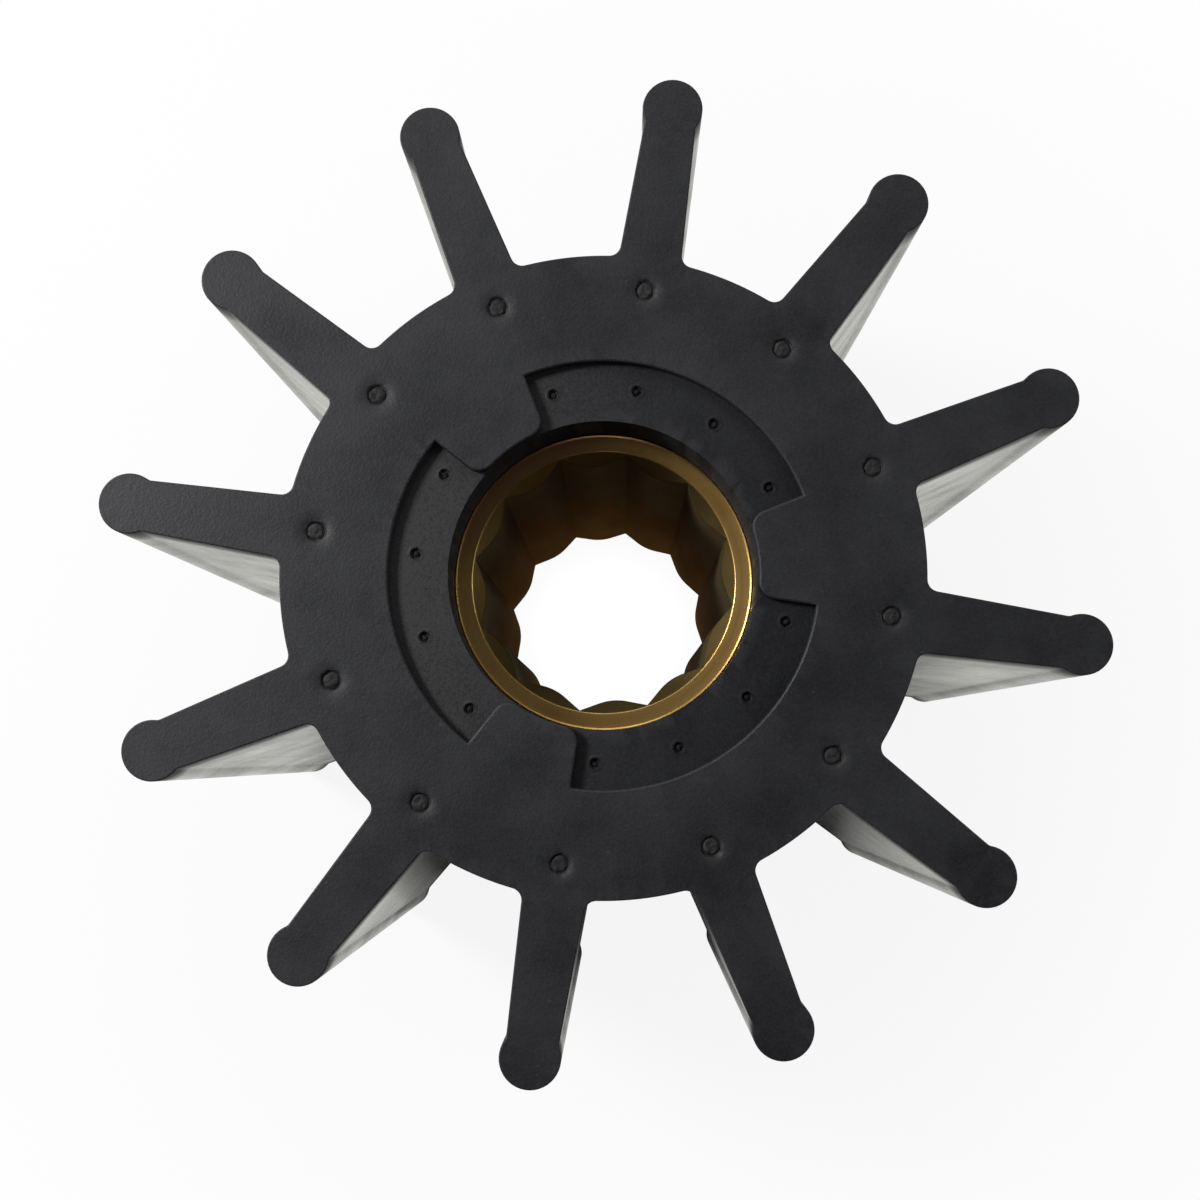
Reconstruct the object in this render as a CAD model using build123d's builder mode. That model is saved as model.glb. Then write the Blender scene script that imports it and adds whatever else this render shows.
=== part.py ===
# Flexible vane impeller for a sea-water pump: a rubber moulding round a splined brass bush.
# Millimetres, +Z along the shaft axis, origin at the centre of the rear end face.
import os
from math import radians, tan

from build123d import *

# Brass bush
spline_root_diameter = 25.4  # across the valleys between the lobes
lobe_count = 12
lobe_height = 1.38  # from the valleys to where the two flanks of a lobe would meet
lobe_round = 5.0  # rounding of a lobe's crest
lobe_turn = -2.0  # first valley, in degrees from the first vane
bush_wall = 1.8  # behind the valleys
bush_front_inset = 8.0  # from the front end face down to the bush
bush_rear_inset = 15.0
bush_edge = 0.3  # chamfer round the outside
lead_in_relief = 0.1  # mouth of the conical lead-in, outside the valleys
lead_in_angle = 40.0  # from the axis, in degrees

# Rubber moulding
outer_diameter = 95.2  # over the vane tips
length = 88.0  # from end face to end face
hub_diameter = 60.2
vane_count = 12
vane_root_width = 5.9  # vane thickness at the hub
vane_neck_width = 4.75  # vane thickness just behind the tip bead
bead_diameter = 5.7  # round bead along each vane tip
root_fillet = 1.1  # where a vane leaves the hub
neck_fillet = 0.7  # where a vane meets its bead

# Recesses in the end faces, parted by lands that reach the bore
recess_width = 5.5  # from the bore outwards
recess_depth = 1.0
land_count = 3
land_angle = 30.0  # width of a land, in degrees
land_turn = 15.0  # first land, midway between two vanes
land_corner = 1.6  # rounding of a land beside the bore

# Moulding marks on the front end face
gate_inset = 3.05  # ring of marks at the vane roots, inside the hub's edge
gate_mouth = 1.9
gate_floor = 1.3
gate_depth = 0.4
vent_inset = 2.4  # ring of marks on the recess floors, inside the recess's edge
vent_mouth = 1.2
vent_floor = 0.7
vent_depth = 0.4
vents_per_recess = 4
vent_pitch = 25.9  # in degrees

# Sizes that follow from those above
root_radius = spline_root_diameter / 2
apex_radius = root_radius - lobe_height
lobe_pitch = 360 / lobe_count
bush_radius = root_radius + bush_wall  # also the bore of the rubber
bush_top = length - bush_front_inset
bush_length = bush_top - bush_rear_inset
lead_in_radius = root_radius + lead_in_relief
lead_in_depth = (lead_in_radius - apex_radius) / tan(radians(lead_in_angle))
hub_radius = hub_diameter / 2
bead_radius = bead_diameter / 2
bead_reach = outer_diameter / 2 - bead_radius
recess_radius = bush_radius + recess_width
recess_turn = land_turn + 180 / land_count
vent_span = vent_pitch * (vents_per_recess - 1)


def polar_point(radius, angle):
    return Vector(radius, 0).rotate(Axis.Z, angle)


def distance_from_axis(vertex):
    return Vector(vertex.X, vertex.Y).length


os.makedirs("parts", exist_ok=True)

# One land of the end faces: a wedge ended by the bore, with its two corners there rounded
with BuildSketch() as land:
    half_width = recess_radius * tan(radians(land_angle / 2))
    Polygon((0, 0), (recess_radius, -half_width), (recess_radius, half_width), align=None)
    Circle(bush_radius, mode=Mode.SUBTRACT)
    fillet(land.vertices().sort_by(distance_from_axis)[:2], land_corner)

# The rubber moulding
with BuildPart() as rubber_impeller:
    # Hub and tapered vanes with beaded tips, drawn as one outline and run the full length
    with BuildSketch() as outline:
        Circle(hub_radius)
        with PolarLocations(0, vane_count):
            Polygon(
                (bush_radius, -vane_root_width / 2),
                (hub_radius, -vane_root_width / 2),
                (bead_reach, -vane_neck_width / 2),
                (bead_reach, vane_neck_width / 2),
                (hub_radius, vane_root_width / 2),
                (bush_radius, vane_root_width / 2),
                align=None,
            )
        with PolarLocations(bead_reach, vane_count):
            Circle(bead_radius)
        corners = outline.vertices().filter_by(lambda corner: distance_from_axis(corner) < bead_reach)
        middle = (hub_radius + bead_reach) / 2
        fillet(corners.filter_by(lambda corner: distance_from_axis(corner) > middle), neck_fillet)
        fillet(corners.filter_by(lambda corner: distance_from_axis(corner) < middle), root_fillet)
        Circle(bush_radius, mode=Mode.SUBTRACT)
    extrude(amount=length)

    # Shallow recesses in both end faces, all round the bore apart from the lands
    with BuildSketch(Plane.XY, Plane.XY.offset(length - recess_depth)):
        Circle(recess_radius)
        with PolarLocations(0, land_count, start_angle=land_turn):
            add(land.sketch, mode=Mode.SUBTRACT)
    extrude(amount=recess_depth, mode=Mode.SUBTRACT)

    # A gate mark at each vane root
    with Locations((0, 0, length)):
        with PolarLocations(hub_radius - gate_inset, vane_count):
            Cone(
                gate_floor / 2,
                gate_mouth / 2,
                gate_depth,
                align=(Align.CENTER, Align.CENTER, Align.MAX),
                mode=Mode.SUBTRACT,
            )

    # A row of vent marks along each recess floor
    with Locations((0, 0, length - recess_depth)):
        with PolarLocations(0, land_count, start_angle=recess_turn - vent_span / 2):
            vent_reach = recess_radius - vent_inset
            with PolarLocations(vent_reach, vents_per_recess, angular_range=vent_span, endpoint=True):
                Cone(
                    vent_floor / 2,
                    vent_mouth / 2,
                    vent_depth,
                    align=(Align.CENTER, Align.CENTER, Align.MAX),
                    mode=Mode.SUBTRACT,
                )

# The spline's outline: straight-flanked lobes with rounded crests that point at the shaft axis
with BuildSketch() as spline:
    spline_points = []
    for lobe in range(lobe_count):
        valley = lobe_turn + lobe * lobe_pitch
        spline_points.append(polar_point(root_radius, valley))
        spline_points.append(polar_point(apex_radius, valley + lobe_pitch / 2))
    Polygon(*spline_points, align=None)
    fillet(spline.vertices().sort_by(distance_from_axis)[:lobe_count], lobe_round)

# The bush: a ring with the spline as its bore
with BuildPart() as splined_bush:
    with BuildSketch(Plane.XY.offset(bush_rear_inset)):
        Circle(bush_radius)
        add(spline.sketch, mode=Mode.SUBTRACT)
    extrude(amount=bush_length)
    rims = splined_bush.edges().filter_by(GeomType.CIRCLE).filter_by(lambda edge: edge.is_closed)
    chamfer(rims, bush_edge)

    # Conical lead-ins, which bevel the ends of the lobes
    with Locations((0, 0, bush_top)):
        Cone(
            apex_radius,
            lead_in_radius,
            lead_in_depth,
            align=(Align.CENTER, Align.CENTER, Align.MAX),
            mode=Mode.SUBTRACT,
        )
    with Locations((0, 0, bush_rear_inset)):
        Cone(
            lead_in_radius,
            apex_radius,
            lead_in_depth,
            align=(Align.CENTER, Align.CENTER, Align.MIN),
            mode=Mode.SUBTRACT,
        )

rubber_impeller.part.label = "rubber_impeller"
export_step(rubber_impeller.part, "parts/rubber_impeller.step")
splined_bush.part.label = "splined_bush"
export_step(splined_bush.part, "parts/splined_bush.step")
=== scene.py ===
from math import asin, atan2, cos, pi, radians, sin, sqrt, tan

import bmesh
import bpy
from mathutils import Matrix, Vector
from mathutils.geometry import delaunay_2d_cdt


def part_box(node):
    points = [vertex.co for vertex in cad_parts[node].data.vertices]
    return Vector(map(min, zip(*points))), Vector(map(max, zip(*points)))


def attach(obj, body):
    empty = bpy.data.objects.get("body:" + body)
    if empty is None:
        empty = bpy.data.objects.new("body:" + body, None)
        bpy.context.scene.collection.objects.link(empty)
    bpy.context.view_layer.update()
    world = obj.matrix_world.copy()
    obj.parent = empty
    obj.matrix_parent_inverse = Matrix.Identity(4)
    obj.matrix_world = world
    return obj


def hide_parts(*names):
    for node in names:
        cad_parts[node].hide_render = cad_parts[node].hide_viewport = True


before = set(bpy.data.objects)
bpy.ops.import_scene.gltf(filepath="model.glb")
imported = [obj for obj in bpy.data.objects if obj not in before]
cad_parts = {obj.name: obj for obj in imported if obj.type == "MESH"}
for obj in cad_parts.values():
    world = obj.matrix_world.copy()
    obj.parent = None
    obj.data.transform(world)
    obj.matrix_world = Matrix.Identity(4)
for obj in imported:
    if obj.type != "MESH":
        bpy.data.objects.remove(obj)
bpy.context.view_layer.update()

mm = 0.001  # drawn in millimetres, kept in metres
axis = Vector((0, 0))
pureWhite = (1.0, 1.0, 1.0, 1.0)
scene = bpy.context.scene
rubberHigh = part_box("rubber_impeller")[1]
bushLow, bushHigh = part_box("splined_bush")
print("frame loaded", sorted(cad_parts))


# Node helpers

def addNode(tree, kind, values=None, **settings):
    node = tree.nodes.new(kind)
    for name, value in settings.items():
        setattr(node, name, value)
    for name, value in (values or {}).items():
        if isinstance(value, bpy.types.NodeSocket):
            tree.links.new(value, node.inputs[name])
        else:
            node.inputs[name].default_value = value
    return node


def addMath(tree, operation, first, second, third=0.0, clamp=False):
    values = {0: first, 1: second, 2: third}
    return addNode(tree, "ShaderNodeMath", values, operation=operation, use_clamp=clamp).outputs[0]


def addVectorMath(tree, operation, first, second=None):
    values = {0: first} if second is None else {0: first, 1: second}
    return addNode(tree, "ShaderNodeVectorMath", values, operation=operation).outputs


def addNoise(tree, spot, scale, detail, roughness):
    values = {"Vector": spot, "Scale": scale, "Detail": detail, "Roughness": roughness}
    return addNode(tree, "ShaderNodeTexNoise", values).outputs["Fac"]


def addStretch(tree, spot, share):
    # draws a pattern out along the shaft axis
    return addNode(tree, "ShaderNodeMapping", {"Vector": spot, "Scale": (1.0, 1.0, share)}).outputs[0]


def addRange(tree, value, low, high, newLow, newHigh):
    values = {"Value": value, "From Min": low, "From Max": high, "To Min": newLow, "To Max": newHigh}
    return addNode(tree, "ShaderNodeMapRange", values).outputs[0]


def addBlend(tree, share, first, second):
    values = {"Factor": share, 6: first, 7: second}
    return addNode(tree, "ShaderNodeMix", values, data_type="RGBA").outputs[2]


def addMask(tree, name):
    return addNode(tree, "ShaderNodeAttribute", attribute_name=name).outputs["Fac"]


def newMaterial(name):
    material = bpy.data.materials.new(name)
    material.use_nodes = True
    tree = material.node_tree
    tree.nodes.clear()
    return material, tree


# One unit turned round the shaft axis, with torn moulding marks where the unit asks for them

def turningTree():
    tree = bpy.data.node_groups.new("turnRoundShaft", "GeometryNodeTree")
    sockets = (
        ("Unit", "NodeSocketGeometry"), ("Count", "NodeSocketInt"), ("First angle", "NodeSocketFloat"),
        ("Tear", "NodeSocketFloat"), ("Tear scale", "NodeSocketFloat"), ("Finish", "NodeSocketMaterial"),
    )
    for label, kind in sockets:
        tree.interface.new_socket(label, in_out="INPUT", socket_type=kind)
    tree.interface.new_socket("Turned", in_out="OUTPUT", socket_type="NodeSocketGeometry")
    given = addNode(tree, "NodeGroupInput").outputs
    ring = addNode(tree, "GeometryNodePoints", {"Count": given["Count"]})
    index = addNode(tree, "GeometryNodeInputIndex").outputs[0]
    pitch = addMath(tree, "DIVIDE", 2 * pi, given["Count"])
    angle = addMath(tree, "MULTIPLY_ADD", index, pitch, given["First angle"])
    euler = addNode(tree, "ShaderNodeCombineXYZ", {"Z": angle})
    turn = addNode(tree, "FunctionNodeEulerToRotation", {0: euler.outputs[0]})
    placed = addNode(tree, "GeometryNodeInstanceOnPoints", {
        "Points": ring.outputs[0], "Instance": given["Unit"], "Rotation": turn.outputs[0]})
    real = addNode(tree, "GeometryNodeRealizeInstances", {0: placed.outputs[0]})
    # noise about its middle value pushes the torn points to and fro
    spot = addNode(tree, "GeometryNodeInputPosition").outputs[0]
    rag = addNode(tree, "ShaderNodeTexNoise", {"Vector": spot, "Scale": given["Tear scale"], "Detail": 2.0})
    swing = addVectorMath(tree, "SUBTRACT", rag.outputs["Color"], (0.5, 0.5, 0.5))[0]
    torn = addNode(tree, "GeometryNodeInputNamedAttribute", {"Name": "torn"}, data_type="FLOAT")
    reach = addMath(tree, "MULTIPLY", torn.outputs[0], given["Tear"])
    push = addNode(tree, "ShaderNodeVectorMath", {0: swing, "Scale": reach}, operation="SCALE")
    moved = addNode(tree, "GeometryNodeSetPosition", {
        "Geometry": real.outputs[0], "Offset": push.outputs[0]})
    dressed = addNode(tree, "GeometryNodeSetMaterial", {
        "Geometry": moved.outputs[0], "Material": given["Finish"]})
    addNode(tree, "NodeGroupOutput", {0: dressed.outputs[0]})
    return tree


def turnRound(tree, name, unit, values):
    mesh = bpy.data.meshes.new(name + "Unit")
    unit.to_mesh(mesh)
    unit.free()
    piece = bpy.data.objects.new(name, mesh)
    scene.collection.objects.link(piece)
    modifier = piece.modifiers.new("turned", "NODES")
    modifier.node_group = tree
    for socket in tree.interface.items_tree:
        if socket.in_out == "INPUT" and socket.name in values:
            modifier[socket.identifier] = values[socket.name]
    depsgraph = bpy.context.evaluated_depsgraph_get()
    turned = bpy.data.meshes.new_from_object(
        piece.evaluated_get(depsgraph), preserve_all_data_layers=True, depsgraph=depsgraph)
    piece.modifiers.remove(modifier)
    piece.data = turned
    turned.name = name
    bpy.data.meshes.remove(mesh)
    return piece


weld = {
    "seam": 0.002 * mm,
    "flatLimit": 0.9999,  # faces this level stay flat beside their rounded edges
}


def weldPiece(piece, values, creaseAngle):
    bm = bmesh.new()
    bm.from_mesh(piece.data)
    bmesh.ops.remove_doubles(bm, verts=bm.verts, dist=values["seam"])
    bmesh.ops.recalc_face_normals(bm, faces=bm.faces)
    bm.normal_update()
    for face in bm.faces:
        face.smooth = abs(face.normal.z) < values["flatLimit"]
    for edge in bm.edges:
        edge.smooth = edge.is_manifold and edge.calc_face_angle() < creaseAngle
    bm.to_mesh(piece.data)
    openEdges = sum(not edge.is_manifold for edge in bm.edges)
    print(piece.name, "faces", len(bm.faces), "open edges", openEdges)
    bm.free()


# Drawing helpers, in millimetres; a run is a row of points, each with the way out of the shape

def angleOf(way):
    return atan2(way.y, way.x)


def heading(angle):
    return Vector((cos(angle), sin(angle)))


def flipped(way):
    return Vector((way.x, -way.y))


def spotsOf(run):
    return [spot for spot, _ in run]


def arcRun(centre, radius, startAngle, endAngle, steps, side):
    run = []
    for step in range(steps + 1):
        way = heading(startAngle + (endAngle - startAngle) * step / steps)
        run.append((centre + radius * way, side * way))
    return run


def straightRun(start, end, steps, normal):
    return [(start.lerp(end, step / steps), normal) for step in range(steps + 1)]


def bothSides(half):
    return [(flipped(spot), flipped(normal)) for spot, normal in reversed(half)] + half[1:]


def turnRun(run, angle):
    way = heading(angle)
    side = Vector((-way.y, way.x))
    return [(way * spot.x + side * spot.y, way * normal.x + side * normal.y) for spot, normal in run]


def shrinkRun(run, inset):
    return [spot - normal * inset for spot, normal in run]


def roundedEdge(edge, steps):
    pairs = []  # inset and depth, from the flat face to the wall
    for step in range(steps + 1):
        angle = pi / 2 * step / steps
        pairs.append((edge * (1 - sin(angle)), edge * (1 - cos(angle))))
    return pairs


class Sheet:
    # a bmesh with a few named masks on its points
    def __init__(self, *masks):
        self.bm = bmesh.new()
        self.masks = {name: self.bm.verts.layers.float.new(name) for name in masks}

    def point(self, spot, height, **masks):
        vert = self.bm.verts.new((spot[0] * mm, spot[1] * mm, height * mm))
        for name, value in masks.items():
            vert[self.masks[name]] = value
        return vert

    def row(self, spots, height, **masks):
        return [self.point(spot, height, **masks) for spot in spots]

    def strip(self, rows, closed=False):
        for lower, upper in zip(rows, rows[1:]):
            count = len(lower)
            for i in range(count if closed else count - 1):
                j = (i + 1) % count
                self.bm.faces.new((lower[i], lower[j], upper[j], upper[i]))

    def fill(self, outer, holes, height, spacing, **masks):
        coords, edges = [], []
        for loop in [outer, *holes]:
            first = len(coords)
            coords += [Vector(spot) for spot in loop]
            edges += [(first + i, first + (i + 1) % len(loop)) for i in range(len(loop))]
        coords += innerSpots(outer, holes, spacing)
        insideOnly, tolerance = 1, 1e-6
        spots, _, faces, *_ = delaunay_2d_cdt(coords, edges, [], insideOnly, tolerance)
        row = self.row(spots, height, **masks)
        for face in faces:
            middle = sum((spots[i] for i in face), Vector((0, 0))) / len(face)
            if not any(isInside(middle, hole) for hole in holes):
                self.bm.faces.new([row[i] for i in face])


def isInside(spot, loop):
    inside = False
    for first, second in zip(loop, [*loop[1:], loop[0]]):
        if (first.y > spot.y) != (second.y > spot.y):
            if spot.x < first.x + (spot.y - first.y) / (second.y - first.y) * (second.x - first.x):
                inside = not inside
    return inside


def innerSpots(outer, holes, spacing):
    # a staggered grid of points, clear of every edge of the face
    edgeSpots = [spot for loop in [outer, *holes] for spot in loop]
    lowX, highX = min(spot.x for spot in outer), max(spot.x for spot in outer)
    lowY, highY = min(spot.y for spot in outer), max(spot.y for spot in outer)
    clearShare = 0.6  # of the spacing
    clearance = (spacing * clearShare) ** 2
    found = []
    rowStep = spacing * sqrt(3) / 2
    for rowIndex in range(int((highY - lowY) / rowStep) + 1):
        shift = spacing / 2 if rowIndex % 2 else 0.0
        for columnIndex in range(int((highX - lowX) / spacing) + 1):
            spot = Vector((lowX + shift + columnIndex * spacing, lowY + rowIndex * rowStep))
            if min((spot - other).length_squared for other in edgeSpots) < clearance:
                continue
            if isInside(spot, outer) and not any(isInside(spot, hole) for hole in holes):
                found.append(spot)
    return found


# Rubber moulding: one third of it, from the middle of a land to the middle of the next

rubber = {
    "vanes": 12,
    "length": rubberHigh.z / mm,
    "outerRadius": rubberHigh.x / mm,
    "hubRadius": 30.1,
    "boreRadius": bushHigh.x / mm,
    "rootWidth": 5.9,
    "neckWidth": 4.75,
    "beadRadius": 2.85,
    "rootFillet": 1.1,
    "neckFillet": 0.7,
    "outerEdge": 0.13,  # rounding of the outline at the end faces
    "lands": 3,
    "landAngle": radians(30),
    "firstLand": radians(15),
    "landCorner": 1.6,
    "recessRadius": 20.0,
    "recessDepth": 1.0,
    "rimEdge": 0.22,  # rounding of the recess and land edges
    "boreDull": 2.5,  # how much duller the bore is than the rounded edges
    "crease": radians(35),
    # fineness of the mesh
    "beadSteps": 14,
    "neckSteps": 4,
    "flankSteps": 6,
    "rootSteps": 7,
    "hubSteps": 5,
    "recessSteps": 30,
    "landSteps": 5,
    "cornerSteps": 8,
    "landEndSteps": 5,
    "recessBoreSteps": 40,
    "cutSteps": 9,
    "outerEdgeSteps": 4,
    "rimEdgeSteps": 3,
    "wallRows": 16,
    "boreRows": 8,
    "faceSpacing": 1.7,
    "floorSpacing": 1.3,
}
gateMark = {
    "reach": 27.05,
    "segments": 32,
    # radius, height and raggedness: a shallow dimple, a torn groove, and the stub in its middle
    "profile": (
        (2.2, 0.0, 0.0), (1.95, -0.005, 0.0), (1.7, -0.018, 0.1), (1.45, -0.042, 0.2), (1.25, -0.075, 0.4),
        (1.1, -0.105, 0.6), (0.98, -0.15, 0.9), (0.9, -0.31, 0.9), (0.82, -0.38, 0.9), (0.72, -0.3, 1.0),
        (0.6, -0.22, 1.2), (0.46, -0.2, 1.3), (0.32, -0.21, 1.3), (0.2, -0.2, 1.3), (0.1, -0.2, 1.3),
    ),
}
ventMark = {
    "reach": 17.6,
    "perRecess": 4,
    "pitch": radians(25.9),
    "segments": 24,
    # radius, height and raggedness: a raised lip, a groove, and the stub in its middle
    "profile": (
        (0.85, 0.0, 0.0), (0.74, 0.01, 0.2), (0.64, 0.03, 0.4), (0.56, 0.02, 0.7), (0.5, -0.09, 0.8),
        (0.44, -0.28, 0.8), (0.35, -0.34, 0.9), (0.26, -0.26, 1.2), (0.17, -0.14, 1.2), (0.08, -0.1, 1.2),
    ),
}
tear = {"reach": 0.15, "scale": 2000.0}  # raggedness of the marks, in millimetres, and its fineness


def vaneAngles(values):
    # the vanes of one third, half of them to each side of the recess's middle
    count = values["vanes"] // values["lands"]
    return [(i + 0.5 - count / 2) * 2 * pi / values["vanes"] for i in range(count)]


def vaneHalf(values):
    # from the bead's tip along one flank to the hub, midway to the next vane
    hub, bead = values["hubRadius"], values["beadRadius"]
    beadCentre = Vector((values["outerRadius"] - bead, 0))
    root = Vector((hub, values["rootWidth"] / 2))
    along = (Vector((beadCentre.x, values["neckWidth"] / 2)) - root).normalized()
    normal = Vector((-along.y, along.x))
    # the fillets' centres lie beside the flank, where they touch the hub and the bead
    fillet = values["rootFillet"]
    start = root + normal * fillet
    onAxis = start.dot(along)
    rootCentre = start + along * (sqrt(onAxis ** 2 - start.length_squared + (hub + fillet) ** 2) - onAxis)
    neck = values["neckFillet"]
    start = root + normal * neck - beadCentre
    onAxis = start.dot(along)
    reach = -onAxis - sqrt(onAxis ** 2 - start.length_squared + (bead + neck) ** 2)
    neckCentre = beadCentre + start + along * reach
    beadEnd, neckStart = angleOf(neckCentre - beadCentre), angleOf(beadCentre - neckCentre)
    flankStart, flankEnd = neckCentre - normal * neck, rootCentre - normal * fillet
    touch = angleOf(-normal)
    return [
        *arcRun(beadCentre, bead, 0, beadEnd, values["beadSteps"], 1),
        *arcRun(neckCentre, neck, neckStart, touch, values["neckSteps"], -1)[1:],
        *straightRun(flankStart, flankEnd, values["flankSteps"], normal)[1:],
        *arcRun(rootCentre, fillet, touch, angleOf(-rootCentre), values["rootSteps"], -1)[1:],
        *arcRun(axis, hub, angleOf(rootCentre), pi / values["vanes"], values["hubSteps"], 1)[1:],
    ]


def rimHalf(values):
    # from the middle of a recess along its edge to the middle of a land; also the count up to the bore
    landMiddle = pi / values["lands"]
    sideAngle = landMiddle - values["landAngle"] / 2
    bore, corner = values["boreRadius"], values["landCorner"]
    side = heading(sideAngle)
    away = heading(sideAngle - pi / 2)
    swing = asin(corner / (bore + corner))
    cornerStart = side * (bore + corner) * cos(swing)
    cornerCentre = heading(sideAngle + swing) * (bore + corner)
    touch = angleOf(-cornerCentre)
    edge = arcRun(axis, values["recessRadius"], 0, sideAngle, values["recessSteps"], -1)
    edge[-1] = (edge[-1][0], edge[-1][1] + away)  # square corner
    edge += straightRun(edge[-1][0], cornerStart, values["landSteps"], away)[1:]
    edge += arcRun(cornerCentre, corner, angleOf(away), touch, values["cornerSteps"], 1)[1:]
    toBore = len(edge)
    edge += arcRun(axis, bore, sideAngle + swing, landMiddle, values["landEndSteps"], -1)[1:]
    return edge, toBore


def markRings(mark, centre, turn):
    ways = [heading(turn + 2 * pi * i / mark["segments"]) for i in range(mark["segments"])]
    return [[centre + way * radius for way in ways] for radius, _, _ in mark["profile"]]


def addMark(sheet, mark, centre, turn, height, **masks):
    rows = [sheet.row(ring, height + step[1], torn=step[2], **masks)
            for ring, step in zip(markRings(mark, centre, turn), mark["profile"])]
    sheet.strip(rows, closed=True)
    _, depth, torn = mark["profile"][-1]
    middle = sheet.point(centre, height + depth, torn=torn, **masks)
    inner = rows[-1]
    for i, vert in enumerate(inner):
        sheet.bm.faces.new((vert, inner[(i + 1) % len(inner)], middle))


def endFace(sheet, values, outline, rim, toBore, isFront):
    length, depth, edge = values["length"], values["recessDepth"], values["rimEdge"]

    def level(below):
        return length - below if isFront else below

    # the flat face with its gate marks
    faceEdge = shrinkRun(outline, values["outerEdge"])
    rimEdge = shrinkRun(rim, edge)
    cutSteps = values["cutSteps"]
    cut = [faceEdge[-1].lerp(rimEdge[-1], i / cutSteps) for i in range(1, cutSteps)]
    cutBack = [flipped(spot) for spot in reversed(cut)]
    gateAngles = vaneAngles(values) if isFront else []
    gates = [(heading(angle) * gateMark["reach"], angle) for angle in gateAngles]
    holes = [markRings(gateMark, centre, angle)[0] for centre, angle in gates]
    sheet.fill([*faceEdge, *cut, *reversed(rimEdge), *cutBack], holes, level(0), values["faceSpacing"])
    for centre, angle in gates:
        addMark(sheet, gateMark, centre, angle, level(0))
    # rounded rim, recess wall, and the recess floor with its vent marks
    rounding = roundedEdge(edge, values["rimEdgeSteps"])
    sheet.strip([sheet.row(shrinkRun(rim, inset), level(below), dull=1.0) for inset, below in rounding])
    skip = len(rim) // 2 + 1 - toBore
    wall = spotsOf(rim)[skip:len(rim) - skip]
    sheet.strip([sheet.row(wall, level(edge)), sheet.row(wall, level(depth), coarse=1.0)])
    startAngle, endAngle = angleOf(wall[-1]), angleOf(wall[0])
    boreEdge = spotsOf(arcRun(
        axis, values["boreRadius"], startAngle, endAngle, values["recessBoreSteps"], -1))
    count = ventMark["perRecess"] if isFront else 0
    ventAngles = [(i - (count - 1) / 2) * ventMark["pitch"] for i in range(count)]
    vents = [(heading(angle) * ventMark["reach"], angle) for angle in ventAngles]
    holes = [markRings(ventMark, centre, angle)[0] for centre, angle in vents]
    sheet.fill([*wall, *boreEdge[1:-1]], holes, level(depth), values["floorSpacing"], coarse=1.0)
    for centre, angle in vents:
        addMark(sheet, ventMark, centre, angle, level(depth), coarse=1.0)
    # the lands' own ends of the bore
    for land in (rim[:skip + 1], rim[len(rim) - skip - 1:]):
        sheet.strip([sheet.row(spotsOf(land), level(edge)), sheet.row(spotsOf(land), level(depth))])
    return spotsOf(rim[:skip]) + boreEdge[::-1] + spotsOf(rim[len(rim) - skip:])


def buildRubberUnit(values):
    sheet = Sheet("torn", "coarse", "flank", "dull")
    length, edge, depth = values["length"], values["outerEdge"], values["recessDepth"]
    vane = bothSides(vaneHalf(values))
    outline = []
    for angle in vaneAngles(values):
        outline += turnRun(vane, angle)[1 if outline else 0:]
    # outer wall, with rounded edges at both end faces
    pairs = roundedEdge(edge, values["outerEdgeSteps"])
    rounding = [(shrinkRun(outline, inset), below) for inset, below in pairs]
    rows = [sheet.row(spots, below, dull=1.0) for spots, below in rounding]
    wallRows = values["wallRows"]
    for i in range(1, wallRows):
        height = edge + (length - 2 * edge) * i / wallRows
        rows.append(sheet.row(spotsOf(outline), height, flank=1.0))
    rows += [sheet.row(spots, length - below, dull=1.0) for spots, below in reversed(rounding)]
    sheet.strip(rows)
    half, toBore = rimHalf(values)
    rim = bothSides(half)
    for isFront in (True, False):
        boreSpots = endFace(sheet, values, outline, rim, toBore, isFront)
    boreRows = values["boreRows"]
    heights = [depth + (length - 2 * depth) * i / boreRows for i in range(boreRows + 1)]
    sheet.strip([sheet.row(boreSpots, height, dull=values["boreDull"]) for height in heights])
    return sheet.bm


# Brass bush: one lobe of its spline, from valley to valley

bush = {
    "lobes": 12,
    "firstCrest": radians(13),
    "outerRadius": bushHigh.x / mm,
    "base": bushLow.z / mm,
    "top": bushHigh.z / mm,
    "rootRadius": 12.7,
    "apexRadius": 11.32,  # where the flanks of a lobe would meet
    "lobeRound": 5.0,
    "leadInAngle": radians(40),
    "chamfer": 0.08,
    "softEdge": 0.04,  # broken edge of the machined faces
    "softBend": (0.4, 1.6),  # where the broken edge turns, in shares of it
    "mouthEdge": 0.1,  # polished edge between the end ring and the lead-in
    "lipDepth": 0.08,  # the end ring is dished a little below its outer lip
    "lipWidth": 0.2,
    "lipBend": ((0.3, 0.2), (0.7, 0.8)),  # shares of the lip's width and depth
    "dish": radians(7),
    "crease": radians(25),
    # fineness of the mesh
    "bendSteps": 5,
    "facetRows": (0.1, 0.92, 1.0),  # close to both ends, to keep the facets flat
    "headRow": 4.0,  # first row of the bore, in broken edges below the facet
    "columns": 20,
    "wallRows": 10,
}


def lobeRadius(values, angle):
    # straight flanks from the valleys, with a rounded crest between them
    halfPitch = pi / values["lobes"]
    apex, radius, angle = values["apexRadius"], values["lobeRound"], abs(angle)
    lean = atan2(values["rootRadius"] * sin(halfPitch), values["rootRadius"] * cos(halfPitch) - apex)
    centre = apex + radius / sin(lean)
    if angle < atan2(radius * cos(lean), centre - radius * sin(lean)):
        return centre * cos(angle) - sqrt(radius ** 2 - (centre * sin(angle)) ** 2)
    return apex * sin(lean) / sin(lean - angle)


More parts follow.
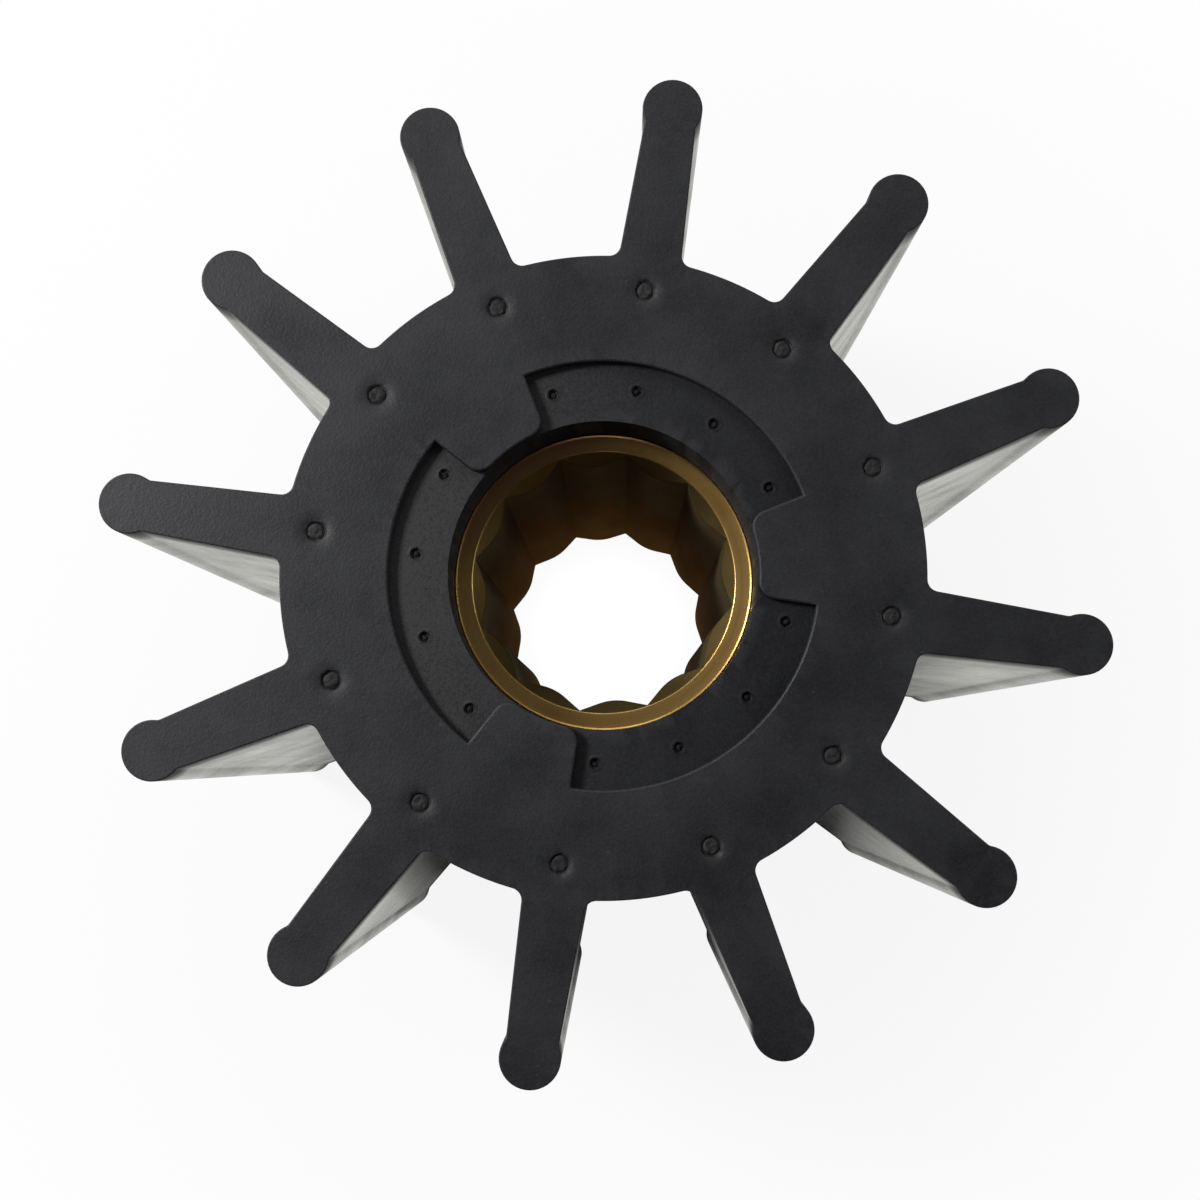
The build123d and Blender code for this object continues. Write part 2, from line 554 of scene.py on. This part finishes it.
def bushProfile(values, lobe):
    # upper half of the section: radius, height, share of bore and share of lead-in
    outer, top, soft = values["outerRadius"], values["top"], values["softEdge"]
    lip, width, edge = values["lipDepth"], values["lipWidth"], values["mouthEdge"]
    slope, fall = values["leadInAngle"], tan(values["dish"])
    # from the outer wall over the lip to the dished ring
    shoulder, crown = top - values["chamfer"] - soft, outer - values["chamfer"] - soft
    foot, mouth = crown - width, values["rootRadius"] + edge
    ring = top - lip - fall * (foot - mouth)
    near, far = (soft * share for share in values["softBend"])
    spots = [(outer, shoulder), (outer - near, shoulder + far), (crown + far, top - near), (crown, top)]
    spots += [(crown - width * across, top - lip * down) for across, down in values["lipBend"]]
    spots += [(foot, top - lip), ((foot + mouth) / 2, (top - lip + ring) / 2)]
    profile = [(*spot, 0.0, 0.0) for spot in spots]
    # polished bend into the lead-in
    corner = Vector((mouth, ring))
    onRing = corner + Vector((edge, fall * edge))
    onCone = corner - Vector((edge * sin(slope), edge * cos(slope)))
    for step in range(values["bendSteps"] + 1):
        share = step / values["bendSteps"]
        profile.append((*onRing.lerp(corner, share).lerp(corner.lerp(onCone, share), share), 0.0, share))
    # facet of the lead-in, its broken lower edge, and the head of the bore
    coneEnd = ring - (mouth - lobe) / tan(slope)
    coneFoot = Vector((lobe + soft * sin(slope), coneEnd + soft * cos(slope)))
    profile += [(*onCone.lerp(coneFoot, share), 0.0, 1.0) for share in values["facetRows"]]
    profile += [(lobe, coneEnd - soft, 0.5, 0.5), (lobe, coneEnd - soft * values["headRow"], 1.0, 0.0)]
    return profile


def buildBushUnit(values):
    sheet = Sheet("torn", "bored", "bevel", "deep")
    halfPitch = pi / values["lobes"]
    rows = values["wallRows"]
    columns = []
    for i in range(values["columns"] + 1):
        across = i / values["columns"]
        angle = halfPitch * (2 * across - 1)
        lobe = lobeRadius(values, angle)
        upper = bushProfile(values, lobe)
        mirror = values["base"] + values["top"]
        lower = [(radius, mirror - height, *masks) for radius, height, *masks in reversed(upper)]
        start, end = upper[-1][1], lower[0][1]
        wall = [(lobe, start + (end - start) * k / rows, 1.0, 0.0) for k in range(1, rows)]
        deep = (1 - across) ** 2  # the painted shade of the olive band reaches deeper along one flank
        columns.append([sheet.point(heading(angle) * radius, height, bored=bored, bevel=bevel, deep=deep)
                        for radius, height, bored, bevel in [*upper, *wall, *lower]])
    sheet.strip(columns, closed=True)
    return sheet.bm


# Materials; each noise is given as scale, detail and roughness

noiseSpread = (0.3, 0.7)  # most of a noise's values lie in here
stainSpread = (0.35, 0.65)

rubberLook = {
    "mottle": (90.0, 4.0, 0.6),
    "speckle": (1500.0, 3.0, 0.6),
    "grain": (4200.0, 2.0, 0.5),
    "streak": (1100.0, 3.0, 0.6),
    "fleck": (2550.0, 1.0, 0.5),
    "streakStretch": 0.015,
    # colour: mottling with grain in it, dust with painted light on the recess floors, and darker torn
    # marks, partly painted shade in their pits
    "dark": (0.0078, 0.0081, 0.0101, 1.0),
    "light": (0.0172, 0.0176, 0.0209, 1.0),
    "grainShare": 0.9,
    "toneSpread": (0.7, 1.2),
    "floorDustAndLight": (0.034, 0.0342, 0.035, 1.0),  # dust with painted light on the recess floors, lighter on the left and fading to the right
    "floorLightAcross": (-0.018, 0.006),
    "floorLightGrain": (0.5, 1.5),
    "fleckTint": (0.05, 0.05, 0.048, 1.0),
    "fleckSpread": (0.76, 0.82),
    "fleckShare": 0.5,
    "tornPitShade": (0.006, 0.006, 0.0065, 1.0),
    "tornPitShadeShare": 0.6,
    # gloss
    "roughness": (0.42, 0.58),
    "flankPolish": (-0.31, -0.27),
    "edgeDull": 0.12,
    "tornDull": 0.2,
    "refraction": 1.5,
    "specular": 0.42,
    "floorSpecular": -0.22,  # added on the recess floors
    # relief
    "grainRelief": 0.8,
    "speckleRelief": 0.05,
    "floorRelief": 0.3,  # added on the recess floors
    "streakRelief": 0.09,
    "bumpStrength": 0.6,
    "bumpDepth": 0.00005,
}


def rubberMaterial(values):
    material, tree = newMaterial("blackRubber")
    spot = addNode(tree, "ShaderNodeTexCoord").outputs["Object"]
    coarse, flank, dull, torn = (addMask(tree, name) for name in ("coarse", "flank", "dull", "torn"))
    mottle, speckle, grain, fleck = (
        addNoise(tree, spot, *values[name]) for name in ("mottle", "speckle", "grain", "fleck"))
    streak = addNoise(tree, addStretch(tree, spot, values["streakStretch"]), *values["streak"])
    # colour
    tone = addMath(tree, "MULTIPLY_ADD", grain, values["grainShare"], mottle)
    tone = addRange(tree, tone, *values["toneSpread"], 0.0, 1.0)
    shade = addBlend(tree, tone, values["dark"], values["light"])
    # painted light with dust: the recess floors are lighter on the left, where the side lamp falls, fading
    # to the right
    across = addNode(tree, "ShaderNodeSeparateXYZ", {0: spot}).outputs["X"]
    dustAndLight = addMath(tree, "MULTIPLY", coarse, addRange(tree, across, *values["floorLightAcross"], 1.0, 0.0))
    dustAndLight = addMath(tree, "MULTIPLY", dustAndLight, addRange(tree, grain, *noiseSpread, *values["floorLightGrain"]))
    shade = addBlend(tree, dustAndLight, shade, values["floorDustAndLight"])
    specks = addRange(tree, fleck, *values["fleckSpread"], 0.0, values["fleckShare"])
    shade = addBlend(tree, specks, shade, values["fleckTint"])
    # darker torn marks: partly torn rubber, partly painted shade in the pits of the marks
    shade = addBlend(tree, addMath(tree, "MULTIPLY", torn, values["tornPitShadeShare"]), shade, values["tornPitShade"])
    # gloss: uneven, smoother on the flanks, duller along the edges
    rough = addRange(tree, mottle, *noiseSpread, *values["roughness"])
    polish = addRange(tree, streak, *noiseSpread, *values["flankPolish"])
    rough = addMath(tree, "MULTIPLY_ADD", polish, flank, rough)
    rough = addMath(tree, "MULTIPLY_ADD", dull, values["edgeDull"], rough)
    rough = addMath(tree, "MULTIPLY_ADD", torn, values["tornDull"], rough)
    specular = addMath(tree, "MULTIPLY_ADD", coarse, values["floorSpecular"], values["specular"])
    # relief: fine grain everywhere, coarser on the recess floors, drawn lines along the flanks
    relief = addMath(tree, "MULTIPLY", grain, values["grainRelief"])
    speckled = addMath(tree, "MULTIPLY_ADD", coarse, values["floorRelief"], values["speckleRelief"])
    relief = addMath(tree, "MULTIPLY_ADD", speckle, speckled, relief)
    lined = addMath(tree, "MULTIPLY", flank, values["streakRelief"])
    relief = addMath(tree, "MULTIPLY_ADD", streak, lined, relief)
    bump = addNode(tree, "ShaderNodeBump", {
        "Strength": values["bumpStrength"], "Distance": values["bumpDepth"], "Height": relief})
    shader = addNode(tree, "ShaderNodeBsdfPrincipled", {
        "Base Color": shade, "Roughness": rough, "IOR": values["refraction"],
        "Specular IOR Level": specular, "Normal": bump.outputs[0]})
    addNode(tree, "ShaderNodeOutputMaterial", {"Surface": shader.outputs[0]})
    return material


brassLook = {
    "turning": (2600.0, 3.0, 0.7),
    "broach": (1500.0, 3.0, 0.6),
    "stain": (160.0, 4.0, 0.6),
    "blotch": (700.0, 5.0, 0.75),
    "bandEdge": (320.0, 3.0, 0.5),
    "broachStretch": 0.01,
    "stainStretch": 0.2,
    # end ring and lead-in
    "bright": (0.56, 0.36, 0.12, 1.0),
    "dull": (0.40, 0.23, 0.07, 1.0),
    "ringShade": (0.34, 0.18, 0.085, 1.0),  # painted shade, a darker tone on the upper-left side of the end ring, where the rubber wall shades it
    "ringShadeWay": (-0.71, 0.71, 0.0),
    "ringShadeFrom": (0.0085, 0.0125),
    "bevelTint": (0.25, 0.175, 0.065, 1.0),
    # bore: brownish tarnish, with an olive band of painted shade and reflection behind its front mouth, and
    # blotches of both
    "tarnish": (0.31, 0.178, 0.092, 1.0),
    "oliveShade": (0.20, 0.165, 0.092, 1.0),
    "oliveShadeFrom": (0.061, 0.067),  # heights where the band starts and is full
    "deepDrop": 0.018,  # how much deeper the painted shade reaches along one flank of each lobe
    "bandSwing": 0.008,  # raggedness of its edge
    "bandShare": 0.8,
    "blotchShare": (-0.2, 0.5),
    "boreShare": (1.0, 0.8),
    # the same three at a shallow angle
    "edgeTint": (0.55, 0.42, 0.28, 1.0),
    "tarnishEdge": (0.53, 0.34, 0.215, 1.0),
    "oliveShadeEdge": (0.525, 0.44, 0.295, 1.0),
    "roughness": (0.36, 0.26),
    "bevelDull": 0.12,
    "boreDull": 0.2,
    "bumpStrength": 0.35,
    "bumpDepth": 0.00002,
}


def brassMaterial(values):
    material, tree = newMaterial("bushBrass")
    spot = addNode(tree, "ShaderNodeTexCoord").outputs["Object"]
    bored, bevel, deep = (addMask(tree, name) for name in ("bored", "bevel", "deep"))
    # rings left by the turning tool, and lines left by the broach
    flat = addVectorMath(tree, "MULTIPLY", spot, (1.0, 1.0, 0.0))[0]
    radius = addVectorMath(tree, "LENGTH", flat)["Value"]
    ringSpot = addNode(tree, "ShaderNodeCombineXYZ", {"X": radius}).outputs[0]
    turned = addNoise(tree, ringSpot, *values["turning"])
    broached = addNoise(tree, addStretch(tree, spot, values["broachStretch"]), *values["broach"])
    # end ring and lead-in
    drawn = addStretch(tree, spot, values["stainStretch"])
    stain = addNoise(tree, drawn, *values["stain"])
    shade = addBlend(tree, addRange(tree, stain, *stainSpread, 0.0, 1.0), values["dull"], values["bright"])
    # painted shade: the end ring darker towards its upper-left side
    lean = addVectorMath(tree, "DOT_PRODUCT", spot, values["ringShadeWay"])["Value"]
    ringShade = addRange(tree, lean, *values["ringShadeFrom"], 0.0, 1.0)
    shade = addBlend(tree, ringShade, shade, values["ringShade"])
    shade = addBlend(tree, bevel, shade, values["bevelTint"])
    # bore: olive band of painted shade and reflection behind the front mouth, with random blotches
    height = addNode(tree, "ShaderNodeSeparateXYZ", {0: spot}).outputs["Z"]
    height = addMath(tree, "MULTIPLY_ADD", deep, values["deepDrop"], height)
    ragged = addNoise(tree, spot, *values["bandEdge"])
    height = addMath(tree, "MULTIPLY_ADD", ragged, values["bandSwing"], height)
    low, high = (level + values["bandSwing"] / 2 for level in values["oliveShadeFrom"])
    band = addRange(tree, height, low, high, 0.0, values["bandShare"])
    blotch = addNoise(tree, drawn, *values["blotch"])
    blotch = addRange(tree, blotch, *stainSpread, *values["blotchShare"])
    band = addMath(tree, "ADD", band, blotch, clamp=True)
    boreShade = addBlend(tree, band, values["tarnish"], values["oliveShade"])
    boreEdge = addBlend(tree, band, values["tarnishEdge"], values["oliveShadeEdge"])
    covered = addMath(tree, "MULTIPLY", bored, addRange(tree, stain, *noiseSpread, *values["boreShare"]))
    shade = addBlend(tree, covered, shade, boreShade)
    shallow = addBlend(tree, bored, values["edgeTint"], boreEdge)
    # gloss and relief
    rough = addRange(tree, stain, *noiseSpread, *values["roughness"])
    rough = addMath(tree, "MULTIPLY_ADD", bevel, values["bevelDull"], rough)
    rough = addMath(tree, "MULTIPLY_ADD", bored, values["boreDull"], rough)
    relief = addMath(tree, "MULTIPLY_ADD", broached, bored, turned)
    bump = addNode(tree, "ShaderNodeBump", {
        "Strength": values["bumpStrength"], "Distance": values["bumpDepth"], "Height": relief})
    shader = addNode(tree, "ShaderNodeBsdfPrincipled", {
        "Base Color": shade, "Metallic": 1.0, "Roughness": rough, "Specular Tint": shallow,
        "Normal": bump.outputs[0]})
    addNode(tree, "ShaderNodeOutputMaterial", {"Surface": shader.outputs[0]})
    return material


# Pieces

unitTree = turningTree()
third = 2 * pi / rubber["lands"]
moulding = turnRound(unitTree, "rubberMoulding", buildRubberUnit(rubber), {
    "Count": rubber["lands"], "First angle": rubber["firstLand"] + third / 2,
    "Tear": tear["reach"] * 2 * mm, "Tear scale": tear["scale"], "Finish": rubberMaterial(rubberLook)})
weldPiece(moulding, weld, rubber["crease"])
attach(moulding, "root")
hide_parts("rubber_impeller")
print("rubber moulding made")

spline = turnRound(unitTree, "splinedBush", buildBushUnit(bush), {
    "Count": bush["lobes"], "First angle": bush["firstCrest"],
    "Tear": 0.0, "Tear scale": tear["scale"], "Finish": brassMaterial(brassLook)})
weldPiece(spline, weld, bush["crease"])
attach(spline, "root")
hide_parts("splined_bush")
print("splined bush made")


# Stage: pale floor, soft light, and the camera of the photograph

stageLook = {
    "floorSize": 3.0,
    "floorDrop": 0.00005,
    "floorColour": (0.8, 0.8, 0.8, 1.0),
    "shadowShare": 0.1,  # how much of the floor's own shading the camera sees
    "shadowReach": (0.055, 0.14),  # farther out the floor fades to white
    "diffuseShare": 0.6,  # glow of the floor that lights the underside
    "dimCentre": (0.0037, -0.0114, 0.0),  # about here, between the vanes, the floor is dim in reflections
    "dimReach": (0.0325, 0.05),
    "glossyShare": (0.02, 0.9),
    "glossyTint": (1.0, 1.0, 0.94, 1.0),
    "boreReach": (0.010, 0.018),  # below the bore the camera sees plain white
    "boreShare": 0.2,  # glow of the same spot in reflections
    "skyTop": 0.06,
    "skySide": 0.38,
    "skyRise": (0.0, 0.8),
    "skyLean": (0.35, -0.94, 0.0),  # towards here the room is darker
    "skyTurn": (-0.35, 0.35),
    "skyShade": (1.6, 0.25),
}


def floorMaterial(values):
    material, tree = newMaterial("paleFloor")
    path = addNode(tree, "ShaderNodeLightPath").outputs
    spot = addNode(tree, "ShaderNodeTexCoord").outputs["Object"]
    radius = addVectorMath(tree, "LENGTH", spot)["Value"]
    # what the camera sees, and what lights the underside
    lit = 1.0 - values["shadowShare"]
    seen = addRange(tree, radius, *values["boreReach"], 1.0, lit)
    seen = addMath(tree, "MAXIMUM", seen, addRange(tree, radius, *values["shadowReach"], lit, 1.0))
    seen = addMath(tree, "MULTIPLY", path["Is Camera Ray"], seen)
    seen = addMath(tree, "MULTIPLY_ADD", path["Is Diffuse Ray"], values["diffuseShare"], seen)
    # what the flanks and the brass reflect
    mirrored = addMath(tree, "MAXIMUM", path["Is Glossy Ray"], path["Is Transmission Ray"])
    away = addVectorMath(tree, "DISTANCE", spot, values["dimCentre"])["Value"]
    outside = addRange(tree, away, *values["dimReach"], *values["glossyShare"])
    inBore = addRange(tree, radius, *values["boreReach"], values["boreShare"], 0.0)
    reflected = addMath(tree, "MAXIMUM", outside, inBore)
    share = addMath(tree, "MULTIPLY_ADD", mirrored, reflected, seen, clamp=True)
    tint = addBlend(tree, mirrored, pureWhite, values["glossyTint"])
    glow = addNode(tree, "ShaderNodeEmission", {"Color": tint, "Strength": 1.0})
    matte = addNode(tree, "ShaderNodeBsdfDiffuse", {"Color": values["floorColour"]})
    shown = addNode(tree, "ShaderNodeMixShader", {0: share, 1: matte.outputs[0], 2: glow.outputs[0]})
    # clear from below
    below = addNode(tree, "ShaderNodeNewGeometry").outputs["Backfacing"]
    clear = addNode(tree, "ShaderNodeBsdfTransparent")
    both = addNode(tree, "ShaderNodeMixShader", {0: below, 1: shown.outputs[0], 2: clear.outputs[0]})
    addNode(tree, "ShaderNodeOutputMaterial", {"Surface": both.outputs[0]})
    return material


def makeFloor(values):
    half = values["floorSize"] / 2
    mesh = bpy.data.meshes.new("paleFloor")
    corners = [(-half, -half), (half, -half), (half, half), (-half, half)]
    mesh.from_pydata([(x, y, -values["floorDrop"]) for x, y in corners], [], [(0, 1, 2, 3)])
    mesh.materials.append(floorMaterial(values))
    floor = bpy.data.objects.new("paleFloor", mesh)
    scene.collection.objects.link(floor)


def makeWorld(values):
    world = bpy.data.worlds.new("softRoom")
    world.use_nodes = True
    scene.world = world
    tree = world.node_tree
    tree.nodes.clear()
    way = addNode(tree, "ShaderNodeTexCoord").outputs["Generated"]
    rise = addNode(tree, "ShaderNodeSeparateXYZ", {0: way}).outputs["Z"]
    glow = addRange(tree, rise, *values["skyRise"], values["skySide"], values["skyTop"])
    lean = addVectorMath(tree, "DOT_PRODUCT", way, values["skyLean"])["Value"]
    glow = addMath(tree, "MULTIPLY", glow, addRange(tree, lean, *values["skyTurn"], *values["skyShade"]))
    light = addNode(tree, "ShaderNodeBackground", {"Color": pureWhite, "Strength": glow})
    backdrop = addNode(tree, "ShaderNodeBackground", {"Color": pureWhite, "Strength": 1.0})
    seen = addNode(tree, "ShaderNodeLightPath").outputs["Is Camera Ray"]
    both = addNode(tree, "ShaderNodeMixShader", {0: seen, 1: light.outputs[0], 2: backdrop.outputs[0]})
    addNode(tree, "ShaderNodeOutputWorld", {"Surface": both.outputs[0]})


lamps = {
    # place, width, watts
    "topLamp": ((-0.05, 0.25, 0.27), 0.14, 0.18),
    "sideLamp": ((-0.227, 0.048, 0.26), 0.07, 0.91),
    "rightLamp": ((0.27, 0.07, 0.24), 0.1, 0.17),
    "frontLamp": ((0.02, -0.17, 0.33), 0.04, 0.02),
    "ceilingLamp": ((-0.125, 0.03, 0.6), 0.15, 0.022),
}


def makeLamps(values):
    aim = Vector((0, 0, rubberHigh.z / 2))
    for name, (place, width, watts) in values.items():
        light = bpy.data.lights.new(name, "AREA")
        light.size = width
        light.energy = watts
        lamp = bpy.data.objects.new(name, light)
        lamp.location = place
        lamp.visible_camera = False
        lamp.rotation_euler = (aim - Vector(place)).to_track_quat("-Z", "Y").to_euler()
        scene.collection.objects.link(lamp)


photoCamera = {
    "place": (0.004071, -0.016123, 0.255747),
    "turn": (4.648, 1.352, 8.543),  # degrees about X, Y and Z, Z first
    "lens": 54.504,
    "sensor": 36.0,
    "clip": (0.01, 20.0),
}


def makeCamera(values):
    data = bpy.data.cameras.new("photoCamera")
    data.lens = values["lens"]
    data.sensor_width = values["sensor"]
    data.clip_start, data.clip_end = values["clip"]
    camera = bpy.data.objects.new("photoCamera", data)
    camera.location = values["place"]
    camera.rotation_mode = "ZXY"
    camera.rotation_euler = [radians(angle) for angle in values["turn"]]
    scene.collection.objects.link(camera)
    scene.camera = camera


makeFloor(stageLook)
makeWorld(stageLook)
makeLamps(lamps)
makeCamera(photoCamera)
scene.view_settings.view_transform = "Standard"
print("stage set")
